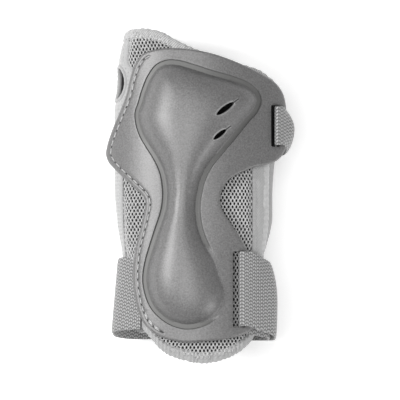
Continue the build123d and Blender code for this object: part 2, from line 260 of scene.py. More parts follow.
BULB_OUTLINE = [
    (-17.3, 72.6), (-23.8, 70.2), (-28.4, 64.5), (-31.5, 57.5), (-34.0, 49.4), (-35.5, 44.8),
    (-35.1, 38.6), (-33.1, 32.1), (-29.2, 25.1), (-25.2, 18.6), (-22.1, 11.6), (-20.8, 5.1),
    (-20.5, -2.4), (-21.6, -9.5), (-24.4, -18.1), (-27.5, -27.8), (-30.0, -36.5), (-31.2, -46.2),
    (-30.0, -53.7), (-26.8, -61.3), (-21.2, -67.4), (-14.4, -71.4), (-7.6, -73.0), (-0.6, -72.2),
    (6.3, -69.2), (11.4, -64.6), (14.4, -58.1), (14.8, -51.0), (12.0, -43.5), (9.7, -35.9),
    (4.9, -27.0), (1.6, -18.1), (0.5, -11.1), (0.5, -4.9), (1.6, 1.4), (2.8, 6.2),
    (6.5, 13.8), (12.9, 21.9), (20.0, 30.5), (26.3, 38.6), (31.9, 45.6), (33.5, 51.0),
    (31.9, 55.9), (27.0, 60.2), (18.4, 63.5), (6.5, 66.7), (-5.4, 70.5), (-11.5, 72.2),
]  # fmt: skip
WRIST_SLOT = (17.6, 24.4, -71.7, -30.9)
HAND_SLOT = (38.6, 43.4, 26.2, 48.9)
VENT_TAIL = 3.2  # how far a scored line runs on from a vent's upper end
VENTS = [(13.6, 45.3, 5.7, 1.4, 37.0), (10.7, 31.5, 4.3, 1.1, 39.0)]  # x, y, half length, half width, turn


def along_line(line):
    """How far along a line each of its points is."""
    return np.concatenate([[0], np.cumsum(np.linalg.norm(np.diff(line, axis=0), axis=1))])


def smooth_line(points, pitch, closed=True):
    """Even points at about that pitch on a smooth curve through these ones."""
    p = np.array(points, float)
    if not closed:
        p = np.vstack([2 * p[0] - p[1], p, 2 * p[-1] - p[-2]])
    step = np.linalg.norm(np.roll(p, -1, 0) - p, axis=1)[:, None]
    before = np.roll(step, 1, 0)
    ahead = (np.roll(p, -1, 0) - p) / step
    slope = (ahead * before + np.roll(ahead, 1, 0) * step) / (step + before)
    spans = range(len(p)) if closed else range(1, len(p) - 2)
    t = np.linspace(0, 1, 24, endpoint=False)[:, None]
    dense = []
    for i in spans:
        j = (i + 1) % len(p)
        a = 2 * t**3 - 3 * t**2 + 1
        b = t**3 - 2 * t**2 + t
        c = t**3 - t**2
        dense.append(a * p[i] + b * slope[i] * step[i] + (1 - a) * p[j] + c * slope[j] * step[i])
    dense.append((p[spans[0]] if closed else p[-2])[None])
    dense = np.vstack(dense)
    along = along_line(dense)
    count = max(3, round(along[-1] / pitch))
    stops = np.linspace(0, along[-1], count + (not closed), endpoint=not closed)
    return np.stack([np.interp(stops, along, dense[:, k]) for k in range(dense.shape[1])], 1)


def depth_inside(spots, loop):
    """Each spot's distance from a closed line, positive inside it."""
    spots = np.asarray(spots, float)
    a, b = loop, np.roll(loop, -1, 0)
    run = b - a
    found = []
    for some in np.array_split(spots, max(1, len(spots) // 1500)):
        rel = some[:, None] - a
        t = np.clip((rel * run).sum(2) / (run**2).sum(1), 0, 1)
        gap = np.hypot(*np.moveaxis(rel - t[..., None] * run, 2, 0)).min(1)
        x, y = some[:, :1], some[:, 1:]
        cross = (a[:, 1] > y) != (b[:, 1] > y)
        rise = np.where(run[:, 1] == 0, 1e-9, run[:, 1])
        hits = (cross & (x < a[:, 0] + (y - a[:, 1]) / rise * run[:, 0])).sum(1)
        found.append(np.where(hits % 2 == 1, gap, -gap))
    return np.concatenate(found)


def offset_loop(loop, inward):
    """The line moved inward, for a loop that runs anticlockwise."""
    ahead = np.roll(loop, -1, 0) - np.roll(loop, 1, 0)
    side = np.stack([-ahead[:, 1], ahead[:, 0]], 1) / np.linalg.norm(ahead, axis=1)[:, None]
    return loop + side * inward


def cut_sheet(outline, holes, rings, pitch):
    """Even triangles inside an outline, with its holes cut and rows of points along the rings."""
    fixed = [outline, *holes]
    edges, start = [], 0
    for loop in fixed:
        edges += [(start + k, start + (k + 1) % len(loop)) for k in range(len(loop))]
        start += len(loop)
    kept = np.vstack(fixed)
    for ring in rings:
        gap = depth_inside(ring, outline)
        for hole in holes:
            gap = np.minimum(gap, -depth_inside(ring, hole))
        kept = np.vstack([kept, ring[gap > 0.2]])
    low, high = outline.min(0), outline.max(0)
    rows = np.arange(low[1], high[1], pitch * 0.866)
    columns = np.arange(low[0], high[0], pitch)
    filler = np.array([(x + (k % 2) * pitch / 2, y) for k, y in enumerate(rows) for x in columns])
    near = kdtree.KDTree(len(kept))
    for k, (x, y) in enumerate(kept):
        near.insert((x, y, 0), k)
    near.balance()
    free = np.array([near.find((x, y, 0))[2] > 0.62 * pitch for x, y in filler])
    filler = filler[free & (depth_inside(filler, outline) > 0)]
    for hole in holes:
        filler = filler[depth_inside(filler, hole) < 0]
    spots = np.vstack([kept, filler])
    spots, _, faces, *_ = delaunay_2d_cdt([Vector(p) for p in spots], edges, [], 0, 1e-5)
    spots = np.array([tuple(p) for p in spots])
    faces = np.array([tuple(f) for f in faces])
    middle = spots[faces].mean(1)
    keep = depth_inside(middle, outline) > 0
    for hole in holes:
        keep &= depth_inside(middle, hole) < 0
    return spots, faces[keep]


def thick_sheet(top, bottom, faces):
    """Closes a cut sheet: its top, the same sheet as its bottom, and a wall along every free edge."""
    n = len(top)
    faces = [tuple(int(v) for v in f) for f in faces]
    used = {}
    for f in faces:
        for a, b in zip(f, f[1:] + f[:1]):
            used[(a, b)] = used.get((a, b), 0) + 1
    walls = [(b, a, a + n, b + n) for a, b in used if (b, a) not in used]
    return np.vstack([top, bottom]), faces + [tuple(v + n for v in reversed(f)) for f in faces] + walls


def arc_height(x):
    """The plain outer face of the shell's arc."""
    return SHELL_AXIS[1] + np.sqrt(SHELL_RADIUS**2 - (x - SHELL_AXIS[0]) ** 2)


def slot_loop(slot, corner=0.8, pitch=0.8):
    """The line round a slot with rounded corners."""
    x0, x1, y0, y1 = slot
    loop = []
    for cx, cy, turn in ((x1, y1, 0), (x0, y1, 90), (x0, y0, 180), (x1, y0, 270)):
        sx, sy = (1 if cx == x1 else -1), (1 if cy == y1 else -1)
        for a in (0, 30, 60, 90):
            c, s = math.cos(math.radians(turn + a)), math.sin(math.radians(turn + a))
            loop.append((cx + corner * (c - sx), cy + corner * (s - sy)))
    loop = np.array(loop)
    dense = [loop[0]]
    for a, b in zip(loop, np.roll(loop, -1, 0)):
        parts = max(1, round(np.linalg.norm(b - a) / pitch))
        dense += [a + (b - a) * k / parts for k in range(1, parts + 1)]
    return np.array(dense[:-1])


def almond_loop(x, y, half_length, half_width, turn, grow=0.0):
    """The line round a vent, or round it at a distance."""
    s = np.sin(np.linspace(-1, 1, 17) * math.pi / 2)
    long = (half_length + grow) * s
    wide = (half_width + grow) * (1 - s**2) ** 0.5
    loop = np.vstack([np.stack([long, -wide], 1)[:-1], np.stack([long[::-1], wide[::-1]], 1)[:-1]])
    c, d = math.cos(math.radians(turn)), math.sin(math.radians(turn))
    return loop @ np.array([[c, d], [-d, c]]) + (x, y)


def vent_tail(x, y, half_length, half_width, turn):
    """Rows of points along the groove that runs out of a vent's upper end."""
    far, off = np.meshgrid(np.arange(-0.4, VENT_TAIL + 0.8, 0.4), (-0.75, -0.35, 0, 0.35, 0.75))
    c, d = math.cos(math.radians(turn)), math.sin(math.radians(turn))
    far = far + half_length
    return np.stack([x + far * c - off * d, y + far * d + off * c], -1).reshape(-1, 2)


outline = smooth_line(SHELL_OUTLINE, 0.8)
bulb = smooth_line(BULB_OUTLINE, 0.8)
slots = [slot_loop(WRIST_SLOT), slot_loop(HAND_SLOT)]
vents = [almond_loop(*vent) for vent in VENTS]
rings = [offset_loop(outline, d) for d in (0.18, 0.45, 0.8, 1.2)]
rings += [offset_loop(outline, GROOVE_INSET + d) for d in (-0.6, -GROOVE_HALF, 0, GROOVE_HALF, 0.6)]
rings += [offset_loop(bulb, d) for d in (-0.4, 0, 0.25, 0.5, 1.2, 2.0, CHANNEL_WIDTH, 3.4, 4.2, 5.2)]
rings += [almond_loop(*vent, grow) for vent in VENTS for grow in (0.25, 0.5, 0.8, 1.2)]
rings += [vent_tail(*vent) for vent in VENTS]
spots, shell_faces = cut_sheet(outline, slots + vents, rings, 1.15)

# The bulb's crown is the shape of a film blown up inside its outline.
GRID = 1.0
SWELL_ROUNDS = 2600
grid_x, grid_y = np.arange(-50, 50, GRID), np.arange(-85, 85, GRID)
field = np.stack(np.meshgrid(grid_x, grid_y, indexing="ij"), 2)
inside = (depth_inside(field.reshape(-1, 2), bulb) > CHANNEL_WIDTH - 1.5).reshape(field.shape[:2])
swell = np.zeros(inside.shape)
for _ in range(SWELL_ROUNDS):
    around = np.roll(swell, 1, 0) + np.roll(swell, -1, 0) + np.roll(swell, 1, 1) + np.roll(swell, -1, 1)
    swell = np.where(inside, (around + GRID**2) / 4, 0)


def bulb_swell(p):
    """The swell at any spots, from the four grid points about each."""
    i = (p[:, 0] - grid_x[0]) / GRID
    j = (p[:, 1] - grid_y[0]) / GRID
    i0, j0 = i.astype(int), j.astype(int)
    u, v = i - i0, j - j0
    i0, j0 = np.clip(i0, 0, len(grid_x) - 2), np.clip(j0, 0, len(grid_y) - 2)
    near = swell[i0, j0] * (1 - u) + swell[i0 + 1, j0] * u
    far = swell[i0, j0 + 1] * (1 - u) + swell[i0 + 1, j0 + 1] * u
    return near * (1 - v) + far * v


def ease(t):
    """0 to 1 with soft ends."""
    t = np.clip(t, 0, 1)
    return t * t * (3 - 2 * t)


def channel_cut(p):
    """1 where the channel is full depth; it runs out on the little-finger side of the lower bulb."""
    return 1 - ease((p[:, 0] + 3) / 6) * ease((-24 - p[:, 1]) / 10) * ease((p[:, 1] + 72) / 8)


def sewn_side(p):
    """Where the sewing groove runs: down the thumb side, from one stitched corner to the other."""
    return (p[:, 0] < -16) & ((p[:, 1] < 74.5) | (p[:, 0] < -27)) & ((p[:, 1] > -73) | (p[:, 0] < -19.5))


def beyond_vent(p, x, y, half_length, turn):
    """How far each spot is past a vent's upper end, and how far to the side of its long axis."""
    c, d = math.cos(math.radians(turn)), math.sin(math.radians(turn))
    far = (p[:, 0] - x) * c + (p[:, 1] - y) * d - half_length
    return far, -(p[:, 0] - x) * d + (p[:, 1] - y) * c


def shell_relief(p):
    """How far the shell's outer face stands over its plain arc."""
    rim = depth_inside(p, outline)
    in_bulb = depth_inside(p, bulb)
    sunk = CHANNEL_DEPTH * channel_cut(p) * ease(in_bulb / 0.5) * (1 - ease((in_bulb - CHANNEL_WIDTH) / 4))
    full = BULB_TOP * (1 - np.exp(-BULB_RISE / BULB_TOP * np.maximum(0, bulb_swell(p)) ** 0.75))
    foot = BULB_FOOT * np.maximum(0, in_bulb - CHANNEL_WIDTH)
    rise = full * foot / np.sqrt(full**2 + foot**2 + 1e-9) - sunk
    rise += 0.08 * np.exp(-((in_bulb + 0.4) ** 2) / 0.1) * channel_cut(p)
    near = np.minimum(rim, RIM_ROUND)
    rise -= RIM_ROUND - np.sqrt(np.maximum(0, RIM_ROUND**2 - (RIM_ROUND - near) ** 2))
    rise -= 0.45 * np.exp(-(((rim - GROOVE_INSET) / GROOVE_HALF) ** 4)) * sewn_side(p)
    for vent, (x, y, half_length, _, turn) in zip(vents, VENTS):
        out = -depth_inside(p, vent)
        rise += 0.4 * np.exp(-((out - 0.5) ** 2) / 0.09) - 0.5 * np.exp(-((out / 0.25) ** 2))
        far, off = beyond_vent(p, x, y, half_length, turn)
        tail = ease((far + 0.6) / 0.8) * ease((VENT_TAIL - far) / 1.2)
        rise += tail * (0.3 * np.exp(-((abs(off) - 0.6) ** 2) / 0.06) - 0.5 * np.exp(-(off**2) / 0.1))
    for slot in slots:
        out = -depth_inside(p, slot)
        rise -= 0.35 * np.exp(-((out / 0.35) ** 2))
    return rise


relief = shell_relief(spots)
neighbours = np.vstack([shell_faces[:, [0, 1]], shell_faces[:, [1, 2]], shell_faces[:, [2, 0]]])
for _ in range(2):  # evens out the bulb's crown
    total, count = np.zeros(len(spots)), np.zeros(len(spots))
    for a, b in (neighbours.T, neighbours.T[::-1]):
        np.add.at(total, a, relief[b])
        np.add.at(count, a, 1)
    in_bulb_now = depth_inside(spots, bulb) > CHANNEL_WIDTH + 1.5
    relief = np.where(in_bulb_now, 0.5 * relief + 0.5 * total / np.maximum(count, 1), relief)
base = arc_height(spots[:, 0])
top = np.column_stack([spots, base + relief])
lean = (spots[:, 0] - SHELL_AXIS[0]) / SHELL_RADIUS
hollow = np.maximum(relief, 0) - 0.15
under = base + hollow - SHELL_THICK * np.sqrt(1 - lean**2)
bottom = np.column_stack([spots[:, 0] - lean * SHELL_THICK, spots[:, 1], under])
shell_points, shell_mesh_faces = thick_sheet(top, bottom, shell_faces)

shell_finish = Finish("grained_grey_polyamide", Metallic=0.25)
shell_finish.shader.inputs["Specular IOR Level"].default_value = 0.6
grain = shell_finish.noise(0.85, 2.0, 0.7)
cloudy = shell_finish.noise(9.0)
shell_finish.colour((grain - 0.32) * 2.4 + cloudy * 0.1, 0.125, 0.222, tint=(1, 0.99, 0.99))
shell_finish.roughness(0.33 + grain * 0.18)
shell_finish.relief(grain, 0.12, 0.7)
# The channel is given a darker grey than the shell, without its grain.
channel_finish = Finish("darker_smooth_channel", Metallic=0.25)
channel_finish.shader.inputs["Specular IOR Level"].default_value = 0.3
sheen = channel_finish.noise(3.0)
channel_finish.colour(sheen, 0.135, 0.158, tint=(1, 1, 0.98))
channel_finish.roughness(0.42 + sheen * 0.1)
# Painted shade: the sewing groove and the middle of each vent's tail get a near-black grey.
groove_shade_finish = Finish("groove_painted_shade", Roughness=0.9)
groove_shade_finish.colour(groove_shade_finish.noise(0.8), 0.035, 0.085)
# Painted highlight: the raised lips round the vents and beside their tails get a lighter grey than the shell.
lip_highlight_finish = Finish("lip_painted_highlight", Metallic=0.25, Roughness=0.4)
lip_highlight_finish.colour(lip_highlight_finish.noise(0.8), 0.22, 0.34)
shell = make_piece("palm_shell_moulding", shell_points, shell_mesh_faces, shell_finish, crease=50)
for finish in (channel_finish, groove_shade_finish, lip_highlight_finish):
    shell.data.materials.append(finish.material)
middle = spots[shell_faces].mean(1)
middle_in_bulb, middle_rim = depth_inside(middle, bulb), depth_inside(middle, outline)
channel_reach = CHANNEL_WIDTH * ease((channel_cut(middle) - 0.2) / 0.5)
in_channel = (middle_in_bulb > 0.2) & (middle_in_bulb < channel_reach)
groove_shade_faces = (np.abs(middle_rim - GROOVE_INSET) < GROOVE_HALF) & sewn_side(middle)
lip_highlight_faces = np.zeros(len(middle), bool)
for vent, (x, y, half_length, _, turn) in zip(vents, VENTS):
    far, off = beyond_vent(middle, x, y, half_length, turn)
    in_tail = (far > -0.2) & (far < VENT_TAIL)
    out = -depth_inside(middle, vent)
    lip_highlight_faces |= ((out > 0.2) & (out < 0.8)) | (in_tail & (abs(off) > 0.35) & (abs(off) < 0.75))
    groove_shade_faces |= in_tail & (abs(off) < 0.35) & (out > 0)
# Painted shade in the grooves, a painted highlight on the vents' lips, and the channel's darker grey.
looks = np.select([groove_shade_faces, lip_highlight_faces, in_channel], [2, 3, 1])
for face, look in zip(shell.data.polygons, looks):
    face.material_index = int(look)


def fit(piece, slot, *nodes):
    """Fixes a piece to the guard and hides the CAD solids it stands for."""
    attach(piece, "guard")
    if nodes:
        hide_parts(*nodes)


fit(shell, "shell_plastic", "palm_shell")

# ------------------------------------------------------------------ shell seam
# A lockstitch in thick pale thread holds the shell's thumb side to the palm panel. It lies in
# a scored groove and is doubled back at the forearm end.
STITCH_PITCH = 4.55
STITCH_LENGTH = 3.7
THREAD_RADIUS = 0.33
BACK_TACK = 13.0


def grid_quads(index):
    """The faces between neighbouring rows and columns of numbered points."""
    corners = [index[:-1, :-1], index[:-1, 1:], index[1:, 1:], index[1:, :-1]]
    return np.stack(corners, -1).reshape(-1, 4).tolist()


def stitch(tail, tip, radius, sag=0.5, around=8, along=7):
    """One stitch as a rounded rod that dips into the work at both ends."""
    tail, tip = np.asarray(tail, float), np.asarray(tip, float)
    t = np.linspace(0, 1, along)[:, None]
    run = (tip - tail) / np.linalg.norm(tip - tail)
    side = np.cross(run, (0, 0, 1))
    side /= np.linalg.norm(side)
    up = np.cross(side, run)
    middle = tail + (tip - tail) * t - up * sag * np.abs(2 * t - 1) ** 4
    fat = radius * np.sqrt(np.maximum(0.05, 1 - np.abs(2 * t - 1) ** 5))
    turns = np.linspace(0, math.tau, around, endpoint=False)
    loops = [middle + fat * (side * math.cos(a) + up * math.sin(a)) for a in turns]
    index = np.arange(along * around).reshape(along, around)
    ends = [index[0, ::-1].tolist(), index[-1].tolist()]
    return np.stack(loops, 1).reshape(-1, 3), grid_quads(np.hstack([index, index[:, :1]])) + ends


def stitch_row(name, ends, radius, finish, sag=0.5):
    points, faces = [], []
    for tail, tip in ends:
        more, quads = stitch(tail, tip, radius, sag)
        faces += [[v + len(more) * len(points) for v in quad] for quad in quads]
        points.append(more)
    return make_piece(name, np.vstack(points), faces, finish, crease=80)


sewing = offset_loop(outline, GROOVE_INSET)
first = int(np.argmin(np.hypot(sewing[:, 0] + 26.5, sewing[:, 1] - 74.5)))
last = int(np.argmin(np.hypot(sewing[:, 0] + 19.5, sewing[:, 1] + 74.6)))
sewing = sewing[first:last]
length = along_line(sewing)
stops = [(s, s + STITCH_LENGTH, 0.0) for s in np.arange(0, length[-1] - STITCH_LENGTH, STITCH_PITCH)]
doubled = np.arange(length[-1] - BACK_TACK, length[-1] - STITCH_LENGTH, STITCH_PITCH)
stops += [(s - STITCH_PITCH / 2, s - STITCH_PITCH / 2 + STITCH_LENGTH, 0.6) for s in doubled]
beside = offset_loop(outline, GROOVE_INSET + 1)[first:last] - sewing
seam_ends = []
for start, stop, aside in stops:
    ends = []
    for at in (start, stop):
        x, y = (float(np.interp(at, length, sewing[:, k] + aside * beside[:, k])) for k in (0, 1))
        ends.append((x, y, arc_height(x) + 0.02))
    seam_ends.append(ends)
thread_finish = Finish("pale_thread", Roughness=0.75, Sheen_Weight=0.2)
ply = (thread_finish.noise(0.5, 3.0) - 0.3) * 2
thread_finish.colour(ply, 0.30, 0.85)
thread_finish.relief(ply, 0.12, 0.8)
seam = stitch_row("shell_seam_thread", seam_ends, THREAD_RADIUS, thread_finish)
fit(seam, "thread", "shell_stitches")

# ------------------------------------------------------------------ palm panel
# Knitted spacer mesh with staggered oval holes, over a black foam pad and a brushed lining.
# The three layers are cut alike, puffed a little where the shell doesn't press on them.
PALM_RADIUS = 63.0
SLEEVE_BACK = 9.5
SLEEVE_AXIS = (-1.0, -13.0)
SEAM_LEFT, SEAM_RIGHT = -45.0, 30.9  # round the sleeve from its highest line
TAPE = 2.4
CLOTH_BACK, FOAM_BACK, LINING_FACE, LINING_BACK = 0.95, 3.0, 3.08, 3.6  # depths in from the outer face
HOLE_PITCH, ROW_PITCH = 2.07, 1.72
HOLE_HALF = (0.66, 0.82)
HAND_RIM = [
    (-60, 89), (-46, 89.5), (-37, 90.3), (-30, 90.0), (-22, 88.0), (-12, 82.5), (2, 76.3),
    (20, 71), (34, 67), (43, 60), (50, 48), (60, 40),
]  # fmt: skip
FOREARM_RIM = [
    (-60, -60), (-38, -64), (-28.6, -75), (-19, -85), (-8, -89.1), (1.6, -90.5), (13.5, -88.3),
    (24.3, -82.4), (31, -74), (38, -65), (60, -58),
]  # fmt: skip
hand_line = smooth_line(HAND_RIM, 1.0, closed=False)
forearm_line = smooth_line(FOREARM_RIM, 1.0, closed=False)


def rim_at(line, x):
    """How far along the sleeve a rim lies at x."""
    return np.interp(x, line[:, 0], line[:, 1])


def side_shape(y, side):
    """Half width, side radius and lean of the sleeve's section at y."""
    left = 32 + 13 * ease((y + 92) / 100) - 6 * ease((y - 60) / 36)
    right = 33.5 + 7 * ease((y + 45) / 35) + 4.2 * ease(y / 50)
    reach = np.where(side < 0, left, right)
    rise = SLEEVE_BACK - SLEEVE_AXIS[1]
    b = rise + PALM_RADIUS - reach
    r = -b + np.sqrt(b * b - rise**2 - reach**2 + PALM_RADIUS**2)
    return reach, r, np.arcsin((reach - r) / (PALM_RADIUS - r))


def half_round(y, side):
    """How far it is round the sleeve from its highest line to its lowest."""
    reach, r, lean = side_shape(y, side)
    return PALM_RADIUS * lean + r * (math.pi - lean) + reach - r


def sleeve(y, u, depth=0.0):
    """A point of the sleeve u round from its highest line, towards the little finger, and in by depth."""
    y, u, depth = np.broadcast_arrays(np.asarray(y, float), np.asarray(u, float), np.asarray(depth, float))
    side = np.where(u < 0, -1.0, 1.0)
    reach, r, lean = side_shape(y, side)
    run = np.abs(u)
    first = PALM_RADIUS * lean
    second = first + r * (math.pi - lean)
    on_palm = run < first
    turn = np.where(on_palm, run / PALM_RADIUS, np.minimum(math.pi, lean + (run - first) / r))
    radius = np.where(on_palm, PALM_RADIUS, r) - depth
    x = np.where(on_palm, 0, reach - r) + radius * np.sin(turn) - np.maximum(0, run - second)
    z = np.where(on_palm, SLEEVE_AXIS[1], SLEEVE_BACK + r) + radius * np.cos(turn)
    return np.stack([SLEEVE_AXIS[0] + side * x, y, z], -1)


def seam_left(y):
    """The thumb-side edge of the mesh. Level with the thumb hole it runs in under the shell."""
    return SEAM_LEFT + 8.5 * ease((y - 24) / 8) - 5.0 * ease((y - 66) / 7)


def flat_area(cloth):
    """The area in square metres of a piece of cloth, from the grid of its flat places in millimetres."""
    one, other = cloth[1:, 1:] - cloth[:-1, :-1], cloth[1:, :-1] - cloth[:-1, 1:]
    return float(0.5 * np.abs(one[..., 0] * other[..., 1] - one[..., 1] * other[..., 0]).sum()) * MM**2


def declare_cloth(cloth, area=None):
    """Takes or works out the area a piece of cloth was cut to; nothing uses it."""
    area or flat_area(cloth)


def panel_grid(u_low, u_high, y_low, y_high, pitch=1.5):
    """Rows along the sleeve and columns round it, between two seams and two rims."""
    columns = max(3, round((u_high(0) - u_low(0)) / pitch))
    rows = round((y_high(0) - y_low(0)) / pitch)
    t, s = np.meshgrid(np.linspace(0, 1, columns + 1), np.linspace(0, 1, rows + 1))
    y = y_low(0) + s * (y_high(0) - y_low(0))
    for _ in range(8):
        u = u_low(y) + t * (u_high(y) - u_low(y))
        x = sleeve(y, u)[..., 0]
        y = y_low(x) + s * (y_high(x) - y_low(x))
    return y, u


def slab(name, outer, inner, finish, cloth=None, crease=45):
    """A closed layer between two matching grids of points."""
    rows, columns = outer.shape[:2]
    n = rows * columns
    index = np.arange(n).reshape(rows, columns)
    quads = np.array(grid_quads(index))
    edges = [index[0, ::-1], index[::-1, -1], index[-1], index[:, 0]]
    walls = [np.stack([e[:-1] + n, e[1:] + n, e[1:], e[:-1]], -1) for e in edges]
    faces = np.vstack([quads, quads[:, ::-1] + n, *walls])
    points = np.vstack([outer.reshape(-1, 3), inner.reshape(-1, 3)])
    if cloth is not None:
        cloth = np.vstack([cloth.reshape(-1, 2)] * 2)
    return make_piece(name, points, faces.tolist(), finish, cloth, crease)


def constant(value):
    return lambda at: value + 0 * at


def below_hand_rim(margin):
    return lambda x: rim_at(hand_line, x) - margin


def above_forearm_rim(margin):
    return lambda x: rim_at(forearm_line, x) + margin


def puff(points, y, u):
    """How far the padding swells past the shell's edge, between it and the panel's seams."""
    beyond = -depth_inside(points[..., :2].reshape(-1, 2), outline).reshape(u.shape)
    seam_gap = np.minimum(u - seam_left(y), SEAM_RIGHT - u)
    return 1.3 * ease((beyond - 1.0) / 6) * ease(seam_gap / 5)


mesh_corner = [(-0.5, -1 / 3), (0, -2 / 3), (0.5, -1 / 3), (0.5, 1 / 3), (0, 2 / 3), (-0.5, 1 / 3)]
mesh_turns = np.radians([207, 231, 258, 282, 309, 333, 27, 51, 78, 102, 129, 153])
cells = [((i + (j % 2) / 2) * HOLE_PITCH, j * ROW_PITCH) for j in range(-54, 54) for i in range(-23, 17)]
cells = np.array(cells)
spot = sleeve(cells[:, 1], cells[:, 0])
fits = (cells[:, 0] > seam_left(cells[:, 1]) - 0.6) & (cells[:, 0] < SEAM_RIGHT + 0.6)
fits &= spot[:, 1] < rim_at(hand_line, spot[:, 0]) - 2.5
fits &= spot[:, 1] > rim_at(forearm_line, spot[:, 0]) + 2.5
cells, spot = cells[fits], spot[fits]
in_slot = depth_inside(spot[:, :2], slots[0]) > -3
covered = (depth_inside(spot[:, :2], outline) > 6) & ~in_slot
cells = cells[~covered]
rng = np.random.default_rng(7)
wobble = rng.normal(0, 0.05, (len(cells), 2))
lattice, flat, faces = {}, [], []
for cell, (cu, cy) in enumerate(cells):
    corner = []
    for dx, dy in mesh_corner:
        u, y = cu + dx * HOLE_PITCH, cy + dy * ROW_PITCH
        key = (round(2 * u / HOLE_PITCH), round(3 * y / ROW_PITCH))
        if key not in lattice:
            lattice[key] = len(flat)
            flat.append((u, y, -0.12))
        corner.append(lattice[key])
    start = len(flat)
    for grow, depth in ((1.20, -0.04), (1.0, 0.20), (0.9, 0.62)):
        for a in mesh_turns:
            du = HOLE_HALF[0] * grow * math.cos(a) + wobble[cell, 0]
            dy = HOLE_HALF[1] * grow * math.sin(a) + wobble[cell, 1]
            flat.append((cu + du, cy + dy, depth))
    for k in range(6):
        a, b = start + 2 * k, start + 2 * k + 1
        faces.append((corner[k], b, a))
        faces.append((corner[k], corner[(k + 1) % 6], start + (2 * k + 2) % 12, b))
    for level in (0, 12):
        for k in range(12):
            a, b = start + level + k, start + level + (k + 1) % 12
            faces.append((a, b, b + 12, a + 12))
flat = np.array(flat)
plain = sleeve(flat[:, 1], flat[:, 0])
mesh_points = sleeve(flat[:, 1], flat[:, 0], flat[:, 2] - puff(plain, flat[:, 1], flat[:, 0]))

mesh_finish = Finish("white_spacer_mesh", Roughness=0.7, Sheen_Weight=0.3)
yarn = mesh_finish.noise(0.5, 3.0, 0.6)
mesh_finish.colour((yarn - 0.3) * 2.2, 0.26, 0.78)
mesh_finish.relief(yarn, 0.12, 0.8)
palm_mesh = make_piece("palm_spacer_mesh", mesh_points, faces, mesh_finish, flat[:, :2], 70)
fit(palm_mesh, "spacer_mesh", "palm_mesh")

y, u = panel_grid(seam_left, constant(SEAM_RIGHT), above_forearm_rim(2.5), below_hand_rim(2.5))
swelling = puff(sleeve(y, u), y, u)
# The black foam's finish also serves as painted shade behind the hand slot.
foam_and_slot_shade_finish = Finish("black_foam_and_slot_shade", Roughness=0.95)
cell_noise = foam_and_slot_shade_finish.noise(0.6, 2.0)
foam_and_slot_shade_finish.colour(cell_noise, 0.004, 0.02)
foam_and_slot_shade_finish.relief(cell_noise, 0.2, 0.6)
padding = slab("palm_padding", sleeve(y, u, CLOTH_BACK - swelling), sleeve(y, u, FOAM_BACK), foam_and_slot_shade_finish)
fit(padding, "foam", "palm_foam")
declare_cloth(flat[:, :2], area=len(cells) * HOLE_PITCH * ROW_PITCH * MM**2)

lining_finish = Finish("brushed_black_lining", Roughness=0.95, Sheen_Weight=0.5)
nap = lining_finish.noise(1.2, 4.0, 0.7)
lining_finish.colour(nap, 0.012, 0.05)
lining_finish.relief(nap, 0.3, 0.7)


def quilt(y, u, cell=11.0, deep=0.5):
    """Soft dimples where the lining is caught down."""
    return deep * (np.cos(math.tau * u / cell) * np.cos(math.tau * y / cell) + 1) / 2


dimple = quilt(y, u)
inner = sleeve(y, u, LINING_BACK + dimple)
lining = slab("palm_lining_cloth", sleeve(y, u, LINING_FACE), inner, lining_finish)
fit(lining, "lining", "palm_lining")
declare_cloth(np.stack([u, y], -1))

# ------------------------------------------------------------------ gussets and thumb hole
# Two side panels of smooth stretch knit. The thumb side's has an oval hole whose edge is
# turned and bound, and both are seamed to the palm mesh and the dorsal panel.
BACK_HALF = 26.0
BACK_END = -73.0
THUMB_HOLE = (61.8, 28.3, 9.0, 8.8)  # y, z, half length, half height
GUSSET_BACK = 1.6
THUMB_WELT, FINGER_WELT = 2.6, 4.6
FINGER_TURN = 0.88  # radians round from upright to the dorsal panel's seam on the little-finger side


def wrinkles(y, u, deep):
    """A shallow, fixed pattern of creases that runs round the sleeve."""
    slow = np.sin(y * 0.31 + 1.3 * np.sin(u * 0.11)) + 0.6 * np.sin(y * 0.83 + 0.21 * u + 1.0)
    return deep * slow * (0.6 + 0.4 * np.sin(u * 0.17 + 2))


def woven(name, look, weave, tone, bump):
    """A cloth with slanting threads under its fuzz.

    look is its roughness, sheen and fuzz size; weave is the threads' slant and pitch; tone and bump
    are how much threads and fuzz count in each, then the two greys, or the depth and strength.
    """
    finish = Finish(name, Roughness=look[0], Sheen_Weight=look[1])
    across, along = finish.cloth_axes()
    threads = ((across + along * weave[0]) / weave[1]).wave()
    fuzz = finish.noise(look[2], 3.0)
    finish.colour(threads * tone[0] + fuzz * tone[1], *tone[2:])
    finish.relief(threads * bump[0] + fuzz * bump[1], *bump[2:])
    return finish


knit_finish = woven(
    "pale_stretch_knit", look=(0.62, 0.45, 0.7), weave=(0.55, 0.95),
    tone=(0.5, 0.5, 0.27, 0.52), bump=(1, 0.6, 0.10, 0.7),
)  # fmt: skip


def under_edge(side):
    """Where the dorsal panel's seam runs: low on the thumb side, at the widest line on the other."""
    if side < 0:
        return lambda y: BACK_HALF - half_round(y, side)

    def little_finger_side(y):
        _, r, lean = side_shape(y, side)
        return np.maximum(PALM_RADIUS * lean + r * (FINGER_TURN - lean), SEAM_RIGHT + 11)

    return little_finger_side


def line_inside(piece, count):
    """Gives the lining's look to the inner faces of a layer, which follow its count outer ones."""
    piece.data.materials.append(lining_finish.material)
    for face in piece.data.polygons[count:2 * count]:
        face.material_index = len(piece.data.materials) - 1


def paint_slot_shade(piece):
    """Painted shade: a black patch on the sleeve's side, where it shows through the hand slot."""
    piece.data.materials.append(foam_and_slot_shade_finish.material)
    for face in piece.data.polygons:
        x, y_here, z = face.center / MM
        beside = HAND_SLOT[0] - 3 < x < HAND_SLOT[1] - 1.5
        if beside and HAND_SLOT[2] - 2 < y_here < HAND_SLOT[3] + 2 and z > 15:
            face.material_index = len(piece.data.materials) - 1


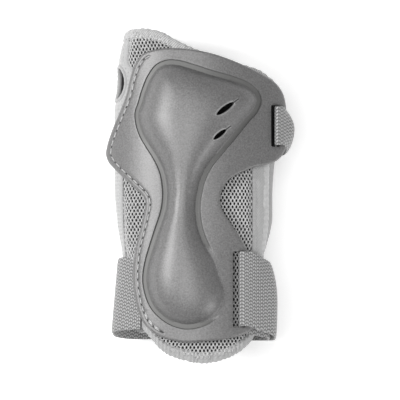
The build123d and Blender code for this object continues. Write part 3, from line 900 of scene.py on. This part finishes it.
low, high = constant(SEAM_RIGHT + TAPE * 0.6), lambda y: under_edge(1)(y) - FINGER_WELT / 2
y, u = panel_grid(low, high, constant(BACK_END), below_hand_rim(3.0), 1.2)
crease = wrinkles(y, u, 0.22)
middle_puff = 0.7 * np.maximum(0, np.sin(math.pi * (u - low(y)) / (high(y) - low(y)))) ** 0.6
outer, inner = sleeve(y, u, -crease - middle_puff), sleeve(y, u, GUSSET_BACK - crease)
side_gusset = slab("side_gusset_cloth", outer, inner, knit_finish, np.stack([u, y], -1))
line_inside(side_gusset, u[:-1, :-1].size)
paint_slot_shade(side_gusset)
fit(side_gusset, "stretch_knit", "side_gusset")
declare_cloth(np.stack([u, y], -1))

across_side = np.linspace(-90, -45, 400)
hole_u = float(np.interp(THUMB_HOLE[1], sleeve(THUMB_HOLE[0], across_side)[:, 2], across_side))
angles = np.linspace(0, math.tau, 72, endpoint=False)


def hole_loop(grow):
    """The thumb hole's edge, or a line round it at a distance, as places (u, y)."""
    y, _, half_length, half_height = THUMB_HOLE
    u = hole_u + (half_height + grow) * np.cos(angles)
    return np.stack([u, y + (half_length + grow) * np.sin(angles)], 1)


y_line = np.linspace(BACK_END, 88, 130)
inner_edge = np.stack([under_edge(-1)(y_line), y_line], 1)
top_u = np.linspace(inner_edge[-1, 0], float(seam_left(88.0)) - 0.8, 30)
top_y = np.full(30, 88.0)
for _ in range(6):
    top_y = rim_at(hand_line, sleeve(top_y, top_u)[:, 0]) - 3.0
top_edge = np.stack([top_u, top_y], 1)
seam_y = np.linspace(top_y[-1], BACK_END, 130)
seam_edge = np.stack([seam_left(seam_y) - 0.8, seam_y], 1)
bottom_u = np.linspace(SEAM_LEFT - 0.8, inner_edge[0, 0], 24)
bottom_edge = np.stack([bottom_u, np.full(24, BACK_END)], 1)
gusset_outline = np.vstack([edge[:-1] for edge in (inner_edge, top_edge, seam_edge, bottom_edge)])[::-1]
hole_rings = [hole_loop(grow) for grow in (0.6, 1.4, 2.6)]
flat_gusset, gusset_faces = cut_sheet(gusset_outline, [hole_loop(0.0)], hole_rings, 1.5)
gu, gy = flat_gusset[:, 0], flat_gusset[:, 1]
crease = wrinkles(gy, gu, 0.28)
edge_gap = depth_inside(flat_gusset, gusset_outline)
hole_gap = -depth_inside(flat_gusset, hole_loop(0.0))
loft = 0.9 * ease(edge_gap / 5) * ease(hole_gap / 5)
thumb_points, thumb_faces = thick_sheet(
    sleeve(gy, gu, -crease * ease(hole_gap / 6) - loft), sleeve(gy, gu, GUSSET_BACK - 0.1 - crease * 0.5), gusset_faces
)
thumb_cloth = np.vstack([flat_gusset, flat_gusset])
rib_finish = Finish("pale_ribbed_knit", Roughness=0.62, Sheen_Weight=0.45)
across, along = rib_finish.cloth_axes()
ribs = (along / 2.1).wave() * ((34 - along) / 10).held()
fuzz = rib_finish.noise(0.8, 3.0)
needle = ((across / 2.2).wave() * (along / 2.2).wave()) ** 6.0
rib_finish.colour(ribs * 0.25 + fuzz * 0.6 + 0.2 - needle * 0.9, 0.27, 0.56)
rib_finish.relief(ribs * 0.8 + fuzz * 0.5 - needle, 0.14, 0.8)
thumb_gusset = make_piece("thumb_gusset_cloth", thumb_points, thumb_faces, rib_finish, thumb_cloth)
line_inside(thumb_gusset, len(gusset_faces))
fit(thumb_gusset, "stretch_knit", "thumb_gusset")
one, other = (flat_gusset[gusset_faces[:, k]] - flat_gusset[gusset_faces[:, 0]] for k in (1, 2))
cut_area = float(0.5 * np.abs(one[:, 0] * other[:, 1] - one[:, 1] * other[:, 0]).sum()) * MM**2
declare_cloth(flat_gusset, area=cut_area)


def tube_round(name, line, radius, finish, squeeze=(1.0, 1.0), steps=14, lumps=0.0, lump_pitch=2.0):
    """A closed roll of tape on a closed line of (y, u) places on the sleeve."""
    length = along_line(line)
    run = np.roll(line, -1, 0) - np.roll(line, 1, 0)
    side = np.stack([-run[:, 1], run[:, 0]], 1) / np.linalg.norm(run, axis=1)[:, None]
    rows, cloth = [], []
    for k in range(steps):
        a = math.tau * k / steps
        swell = 1 + lumps * np.sin(math.tau * length / lump_pitch)
        out = radius * squeeze[0] * math.cos(a) * swell
        spread = line + side * out[:, None]
        rows.append(sleeve(spread[:, 0], spread[:, 1], 0.5 - radius * squeeze[1] * math.sin(a) * swell))
        cloth.append(np.stack([length, np.full(len(line), radius * a)], 1))
    index = np.pad(np.arange(steps * len(line)).reshape(steps, -1), (0, 1), mode="wrap")
    return make_piece(name, np.stack(rows, 0), grid_quads(index), finish, np.stack(cloth, 0), 80)


tape_finish = woven(
    "pale_twill_tape", look=(0.7, 0.35, 0.8), weave=(0.8, 0.8),
    tone=(0.35, 0.5, 0.28, 0.54), bump=(0.5, 0.5, 0.10, 0.7),
)  # fmt: skip
loop_yu = hole_loop(0.7)[:, ::-1]
hole_tape = tube_round("thumb_hole_edge", loop_yu, 1.0, tape_finish, (1.2, 1.3), lumps=0.05, lump_pitch=3.0)
fit(hole_tape, "stretch_knit", "thumb_hole_binding")

# ------------------------------------------------------------------ seam tapes
# Narrow twill tape sewn flat over the two long seams beside the palm mesh, with a row of
# stitches down each.
def crowned(y, high, flat, ripple, pitch):
    """How far a narrow strip stands up: rounded from side to side, with ripples where it is sewn."""
    across = np.sin(math.pi * np.linspace(flat, 1 - flat, y.shape[1]))
    return high * across[None, :] + ripple * np.sin(math.tau * y / pitch)


for name, node, middle in (
    ("thumb_seam_tape", "thumb_seam_binding", lambda y: seam_left(y) - TAPE / 3),
    ("side_seam_tape", "side_seam_binding", constant(SEAM_RIGHT + TAPE / 3)),
):
    low, high = (lambda y: middle(y) - TAPE / 2), (lambda y: middle(y) + TAPE / 2)
    y, u = panel_grid(low, high, constant(BACK_END), below_hand_rim(3.0), 0.5)
    crown = crowned(y, 0.35, 0.08, 0.08, 2.6)
    tape = slab(name, sleeve(y, u, -0.2 - crown), sleeve(y, u, 0.9), tape_finish, np.stack([u, y], -1))
    line_inside(tape, u[:-1, :-1].size)
    fit(tape, "twill_tape", node)
TAPE_STITCH, TAPE_STITCH_PITCH = 1.9, 2.9
seam_ends = []
for edge, aside in ((seam_left, TAPE * 0.35), (constant(SEAM_RIGHT), -TAPE * 0.35)):
    for start in np.arange(-70.0, 60.0, TAPE_STITCH_PITCH):
        seam_ends.append([sleeve(at, edge(at) + aside, -0.35) for at in (start, start + TAPE_STITCH)])
dark_thread = Finish("grey_thread", Roughness=0.8)
dark_thread.colour(dark_thread.noise(0.5), 0.12, 0.36)
side_stitching = stitch_row("seam_tape_stitching", seam_ends, 0.24, dark_thread, 0.3)
fit(side_stitching, "thread")

# ------------------------------------------------------------------ dorsal panel, pocket and splint
# The back of the sleeve: stretch knit over foam and lining, with a sewn pocket outside it
# that holds a flat plastic splint. Welts stand along both of its long seams.


def underside(y, v, depth=0.0):
    """A point of the dorsal side, v from its middle line."""
    side = np.where(v < 0, -1.0, 1.0)
    return sleeve(y, side * (half_round(y, side) - np.abs(v)), depth)


def dorsal_grid(margin, pitch=1.4):
    columns, rows = round(3 * BACK_HALF / pitch), round(150 / pitch)
    t, s = np.meshgrid(np.linspace(1, 0, columns + 1), np.linspace(0, 1, rows + 1))
    y = BACK_END + s * 140
    for _ in range(8):
        v = 1e-6 - BACK_HALF + t * (BACK_HALF + half_round(y, 1.0) - under_edge(1)(y))
        top = rim_at(hand_line, underside(y, v)[..., 0]) - margin
        y = BACK_END + s * (top - BACK_END)
    return y, v


dorsal_finish = woven(
    "grey_dorsal_twill", look=(0.75, 0.25, 0.7), weave=(0.9, 1.0),
    tone=(0.5, 0.5, 0.18, 0.46), bump=(0.6, 0.5, 0.12, 0.8),
)  # fmt: skip
welt_finish = Finish("bright_piping", Roughness=0.6, Sheen_Weight=0.4)
across, along = welt_finish.cloth_axes()
fuzz = welt_finish.noise(0.8, 3.0) * 0.7 + (along / 3.4).wave() * 0.3
welt_finish.colour(fuzz, 0.36, 0.62)
welt_finish.relief(fuzz, 0.10, 0.6)
y, v = dorsal_grid(3.0)
crease = wrinkles(y, v, 0.12)
cloth = np.stack([v, y], -1)
outer = underside(y, v, -crease - 0.1)
dorsal = slab("dorsal_cloth", outer, underside(y, v, CLOTH_BACK), dorsal_finish, cloth)
paint_slot_shade(dorsal)
fit(dorsal, "stretch_knit", "dorsal_panel")
declare_cloth(cloth)
outer = underside(y, v, CLOTH_BACK + 0.05)
back_padding = slab("dorsal_padding", outer, underside(y, v, FOAM_BACK), foam_and_slot_shade_finish)
fit(back_padding, "foam", "dorsal_foam")
inner = underside(y, v, LINING_BACK + quilt(y, v))
back_lining = slab("dorsal_lining_cloth", underside(y, v, LINING_FACE), inner, lining_finish)
fit(back_lining, "lining", "dorsal_lining")
declare_cloth(cloth)

for name, edge, width in (
    ("thumb_side_welt", under_edge(-1), THUMB_WELT),
    ("little_finger_side_welt", lambda y: under_edge(1)(y) - FINGER_WELT, FINGER_WELT),
):
    low, high = edge, (lambda y: edge(y) + width)
    y, u = panel_grid(low, high, constant(BACK_END), below_hand_rim(3.0), 0.45)
    crown = crowned(y, 1.0, 0.05, 0.15, 3.4)
    welt = slab(name, sleeve(y, u, -0.4 - crown), sleeve(y, u, 0.8), welt_finish, np.stack([u, y], -1))
    line_inside(welt, u[:-1, :-1].size)
    paint_slot_shade(welt)
    fit(welt, "twill_tape")

POCKET = (19.0, 66.0, -3.0, 3.55)  # half width, half length, middle, depth
t, s = np.meshgrid(np.linspace(1, -1, 56), np.linspace(-1, 1, 150))
crown = (1 - np.abs(t) ** 7) * (1 - np.abs(s) ** 22)
hem = 0.5 + 0.15 * np.sin(math.tau * s * POCKET[1] / 3.0)
pocket_x = POCKET[0] * t * (1 - 0.03 * np.abs(s) ** 8)
pocket_y = POCKET[2] + POCKET[1] * s
pocket_z = SLEEVE_BACK - hem - (POCKET[3] - 0.7) * crown ** 0.8
outer = np.stack([pocket_x, pocket_y, pocket_z], -1)
inner = np.stack([pocket_x, pocket_y, pocket_z * 0 + SLEEVE_BACK - 0.05], -1)
pocket = slab("splint_pocket_cloth", outer, inner, tape_finish, np.stack([pocket_x, pocket_y], -1))
fit(pocket, "twill_tape", "splint_pocket", "dorsal_splint")
declare_cloth(np.stack([pocket_x, pocket_y], -1))
seam_ends = []
for x in (-POCKET[0] + 1.6, POCKET[0] - 1.6):
    for start in np.arange(POCKET[2] - POCKET[1] + 3, POCKET[2] + POCKET[1] - 4, 3.2):
        seam_ends.append([(x, start, SLEEVE_BACK - 3.1), (x, start + 2.2, SLEEVE_BACK - 3.1)])
pocket_stitching = stitch_row("pocket_stitching", seam_ends, 0.25, thread_finish, -0.3)
fit(pocket_stitching, "thread")

# ------------------------------------------------------------------ end bindings
# Pale twill tape folded over the raw edges and sewn through: right round the hand end, round
# the palm lobe at the forearm end, where it is gathered into pleats, and along the dorsal
# panel's back edge. (w, depth) is where the tape lies: in from the edge, and below the face.
BINDING_SECTION = [
    (5.4, -0.05), (5.2, -0.7), (4.0, -0.95), (2.2, -0.95), (0.7, -0.6), (-0.3, 0.4), (-0.6, 1.8),
    (-0.2, 3.2), (0.8, 4.3), (2.6, 4.8), (4.6, 4.9), (5.8, 4.6), (5.6, 3.6), (5.6, 1.2),
]  # fmt: skip


def bound_edge(name, y_rim, u, inward, finish, closed, pleat, pitch):
    """Tape folded over an edge that runs along (y_rim, u); inward is which way the work lies."""
    section = smooth_line(BINDING_SECTION, 0.55)
    rim = sleeve(y_rim, u)
    length = along_line(rim)
    rng = np.random.default_rng(11)
    knots = np.arange(0, length[-1] + 4, 4)
    drift = np.interp(length, knots, rng.normal(0, 0.22, len(knots)))
    slow = 0.4 * np.sin(math.tau * length / (pitch * 2.7))
    fold = pleat * (np.sin(math.tau * (length / pitch + drift)) + slow)
    rows, cloth = [], []
    middle = section.mean(0)
    around = along_line(section)
    for (w, d), place in zip(section, around):
        grow = fold * (0.35 + 0.65 * ease((6.4 - w) / 2.0))
        away = np.array([w, d]) - middle
        away /= np.linalg.norm(away)
        rows.append(sleeve(y_rim + inward * (w + away[0] * grow), u, d + away[1] * grow))
        cloth.append(np.stack([length, np.full(len(length), place)], 1))
    index = np.arange(len(rows) * len(length)).reshape(len(rows), -1)
    faces = grid_quads(np.pad(index, ((0, 1), (0, int(closed))), mode="wrap"))
    if inward < 0:
        faces = [quad[::-1] for quad in faces]
    if not closed:
        faces += [index[:, 0].tolist(), index[::-1, -1].tolist()]
    return make_piece(name, np.stack(rows, 0), faces, finish, np.stack(cloth, 0), 80)


TAPE_SEWN = 4.6  # how far in from the edge


def tape_stitches(y_rim, u, inward, first_u, last_u):
    """The stitches along a tape's free edge, over the palm side."""
    length = along_line(np.stack([y_rim, u], 1))
    ends = []
    for start in np.arange(length[0] + 2, length[-1] - 2, TAPE_STITCH_PITCH):
        stops = (start, start + TAPE_STITCH)
        places = [[float(np.interp(at, length, line)) for line in (y_rim, u)] for at in stops]
        if first_u < places[0][1] < last_u:
            ends.append([sleeve(y + inward * TAPE_SEWN, at_u, -0.95) for y, at_u in places])
    return ends


p = np.linspace(0, 1, 620, endpoint=False)
y_rim = np.full(len(p), 80.0)
for _ in range(12):
    left, right = half_round(y_rim, -1.0), half_round(y_rim, 1.0)
    u = -left + p * (left + right)
    y_rim = 0.5 * y_rim + 0.5 * rim_at(hand_line, sleeve(y_rim, u)[:, 0])
hand_tape_finish = woven(
    "hand_end_twill", look=(0.7, 0.35, 0.8), weave=(-0.7, 1.15),
    tone=(0.7, 0.4, 0.24, 0.62), bump=(1, 0.5, 0.16, 0.8),
)  # fmt: skip
hand_tape = bound_edge("hand_end_tape", y_rim, u, -1, hand_tape_finish, True, 0.16, 4.3)
fit(hand_tape, "twill_tape", "hand_end_binding")
seam_ends = tape_stitches(y_rim, u, -1, -45, 40)

u = np.linspace(-34.0, 33.0, 330)
y_rim = np.full(len(u), -80.0)
for _ in range(12):
    y_rim = 0.5 * y_rim + 0.5 * rim_at(forearm_line, sleeve(y_rim, u)[:, 0])
forearm_tape = bound_edge("forearm_end_tape", y_rim, u, 1, tape_finish, False, 0.22, 2.6)
fit(forearm_tape, "twill_tape", "forearm_end_binding")
seam_ends += tape_stitches(y_rim, u, 1, -31, 30)
tape_stitching = stitch_row("end_tape_stitching", seam_ends, 0.24, dark_thread, 0.3)
fit(tape_stitching, "thread")

p = np.linspace(0, 1, 420)
y_rim = np.full(len(p), BACK_END - 0.6)
left, right = half_round(y_rim, -1.0), half_round(y_rim, 1.0)
u = (SEAM_RIGHT + TAPE) + p * (left + right - (SEAM_RIGHT + TAPE) + (SEAM_LEFT - TAPE))
u = np.where(u > right, u - left - right, u)
back_tape = bound_edge("back_end_tape", y_rim, u, 1, tape_finish, False, 0.12, 2.6)
fit(back_tape, "twill_tape", "back_end_binding")

# ------------------------------------------------------------------ straps
# Two lengths of knitted elastic webbing. Each is sewn down on the thumb side, passes behind
# the guard and up through its slot in the shell, folds over the bar and goes back on itself
# behind, where its hook tail grips the loop patch.
STRAPS = {
    "wrist": dict(
        width=40.0, thick=1.6, middle=-51.1, level=50.0, shift=7.4, reach=7.0,
        barrel=(31.0, 3.4, 0.6), pivot=(26.5, 50.2), turn=(27.8, 0.8),
        band=[
            (-31.0, 41.35), (-46.2, 33.0), (-44.6, 4.7), (37.4, 4.7), (37.4, 38.4), (21.7, 46.75),
            (21.7, 50.3),
        ],
        band_radii=[9.0, 14.0, 14.0, 5.0, 1.5],
        fold=[(21.7, 50.3), (21.7, 52.2), (29.0, 49.2), (41.2, 43.2), (41.2, 22.0)],
        fold_radii=[1.4, 12.0, 7.0],
        tail=[(41.2, 22.0), (41.2, 0.8), (-20.0, 0.8)],
        tail_radii=[12.0],
    ),
    "hand": dict(
        width=21.0, thick=1.4, middle=37.7, level=38.0, shift=3.0, reach=12.0, barrel=(44.5, 4.6, 4.2),
        pivot=(43.2, 41.6), turn=(37.7, 0.7),
        band=[(-24.0, 4.7), (46.1, 4.7), (46.1, 27.0), (41.2, 35.8), (41.2, 41.0)],
        band_radii=[12.0, 4.0, 1.5],
        fold=[(41.2, 41.0), (41.2, 43.6), (51.1, 33.4), (51.1, 18.0)],
        fold_radii=[0.9, 8.0],
        tail=[(51.1, 18.0), (51.1, 0.7), (-14.0, 0.7)],
        tail_radii=[12.0],
    ),
}  # fmt: skip
WEB_COLUMN, WEB_PICK = 2.3, 1.8
WEB_RELIEF = 0.13


def route(points, radii, pitch):
    """Points at even steps along straight runs joined by arcs."""
    points = [np.array(p, float) for p in points]
    path = [points[0]]
    for before, corner, after, radius in zip(points, points[1:], points[2:], radii):
        into, out = (before - corner), (after - corner)
        into, out = into / np.linalg.norm(into), out / np.linalg.norm(out)
        half = math.acos(float(np.clip(into @ out, -1, 1))) / 2
        centre = corner + (into + out) / np.linalg.norm(into + out) * radius / math.sin(half)
        start, stop = (corner + way * radius / math.tan(half) - centre for way in (into, out))
        a, b = math.atan2(start[1], start[0]), math.atan2(stop[1], stop[0])
        b = a + (b - a + math.pi) % math.tau - math.pi
        path += [centre + radius * np.array([math.cos(t), math.sin(t)]) for t in np.linspace(a, b, 14)]
    path = np.array(path + [points[-1]])
    length = along_line(path)
    stops = np.linspace(0, length[-1], round(length[-1] / pitch) + 1)
    return np.stack([np.interp(stops, length, path[:, k]) for k in (0, 1)], 1), stops


def webbing(kind, part_name, start, bulged=True, pitch=0.55):
    """One length of a strap's webbing, with its chevron knit standing proud on both faces."""
    strap = STRAPS[kind]
    path, along = route(strap[part_name], strap[f"{part_name}_radii"], pitch)
    along = along + start
    run = np.gradient(path, axis=0)
    run /= np.linalg.norm(run, axis=1)[:, None]
    side = np.stack([-run[:, 1], run[:, 0]], 1)
    half = strap["width"] / 2
    w = np.linspace(-half, half, round(strap["width"] / pitch) + 1)
    s, w = np.meshgrid(along, w, indexing="ij")
    part = np.mod(s / WEB_COLUMN, 1)
    stagger = 0.5 * (np.mod(s / WEB_COLUMN / 2, 1) > 0.5)
    ridge = 0.5 + 0.5 * np.cos(math.tau * (w / WEB_PICK + 0.5 * np.abs(2 * part - 1) + stagger))
    ridge = ridge * np.abs(np.sin(math.tau * part)) ** 0.9
    edge = (1 - np.abs(w / half) ** 14) ** 0.5
    faces = []
    for sign in (1, -1):
        out = sign * (strap["thick"] / 2 * (0.45 + 0.55 * edge) + WEB_RELIEF * (ridge - 1) * edge)
        x = path[:, 0, None] + side[:, 0, None] * out
        z = path[:, 1, None] + side[:, 1, None] * out
        drop = np.maximum(0, strap["level"] - z)
        early, even = 1 - np.exp(-drop / strap["reach"]), np.minimum(1, drop / strap["level"])
        y = strap["middle"] - strap["shift"] * (even + (early - even) * ease((x + 10) / 20)) + w
        from_x, hand_side, forearm_side = strap["barrel"]
        bulge = hand_side * (np.maximum(0, w) / half) ** 2 + forearm_side * (np.minimum(0, w) / half) ** 2
        x = x - ease((x - from_x) / 8) * bulged * bulge
        x = x + 0.085 * w * ease((-20 - x) / 20)
        faces.append(np.stack([x, y, z], -1))
    piece = slab(f"{kind}_{part_name}_webbing", faces[0], faces[1], web_finish, np.stack([s, w], -1), 60)
    return piece, along[-1]


web_finish = Finish("grey_elastic_webbing", Roughness=0.72, Sheen_Weight=0.3)
across, along = web_finish.cloth_axes()
part = (across / WEB_COLUMN).fraction()
stagger = ((across / (2 * WEB_COLUMN)).fraction() > 0.5) * 0.5
chevron = (along / WEB_PICK + abs(part * 2 - 1) * 0.5 + stagger + 0.5).wave()
half_part = (part * 2).fraction()
groove = (half_part * (1 - half_part) * 4).held()
fibre = web_finish.noise(0.45, 3.0, 0.6)
web_tone = chevron * groove
web_finish.colour(web_tone * 1.1 + fibre * 0.4 - 0.15, 0.10, 0.50)
web_finish.relief(web_tone + fibre * 0.5, 0.16, 0.9)

for kind, strap in STRAPS.items():
    band, done = webbing(kind, "band", 0.0, bulged=False)
    fit(band, "webbing", f"{kind}_strap_band")
    fold, done = webbing(kind, "fold", done)
    px, pz = (c * MM for c in strap["pivot"])
    start, end = (px - 0.004, 0, pz + 0.0035), (px + 0.005, 0, pz - 0.0035)
    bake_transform(fold)
    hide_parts(f"{kind}_strap_free")
    tail, done = webbing(kind, "tail", done)
    px, pz = (c * MM for c in strap["turn"])
    px + 0.006
    px - 0.006
    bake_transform(tail)
    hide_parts(f"{kind}_strap_tail")

# ------------------------------------------------------------------ hook and loop patches
# Brushed nylon loop sewn on the straps' bands, and moulded hook tape on their tails. The hand
# strap's sewn end is held by three thread tacks.
loop_finish = Finish("brushed_loop_tape", Roughness=0.95, Sheen_Weight=0.7)
pile = loop_finish.noise(0.7, 4.0, 0.7)
loop_finish.colour(pile, 0.18, 0.5)
loop_finish.relief(pile, 0.4, 0.9)
hook_finish = Finish("moulded_hook_tape", Roughness=0.5)
where = hook_finish.node("ShaderNodeSeparateXYZ", {}, {0: hook_finish.place()}, "X")
down = hook_finish.node("ShaderNodeSeparateXYZ", {}, {0: hook_finish.place()}, "Y")
rows = (where / (1.1 * MM)).wave() * (down / (1.4 * MM)).wave()
hook_finish.colour(rows, 0.10, 0.34)
hook_finish.relief(rows, 0.4, 0.9)
for kind in STRAPS:
    for patch, finish in ((f"{kind}_loop_patch", loop_finish), (f"{kind}_hook_patch", hook_finish)):
        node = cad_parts[patch]
        node.data.materials.clear()
        node.data.materials.append(finish.material)
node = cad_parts["hand_strap_tacks"]
node.data.materials.clear()
node.data.materials.append(thread_finish.material)
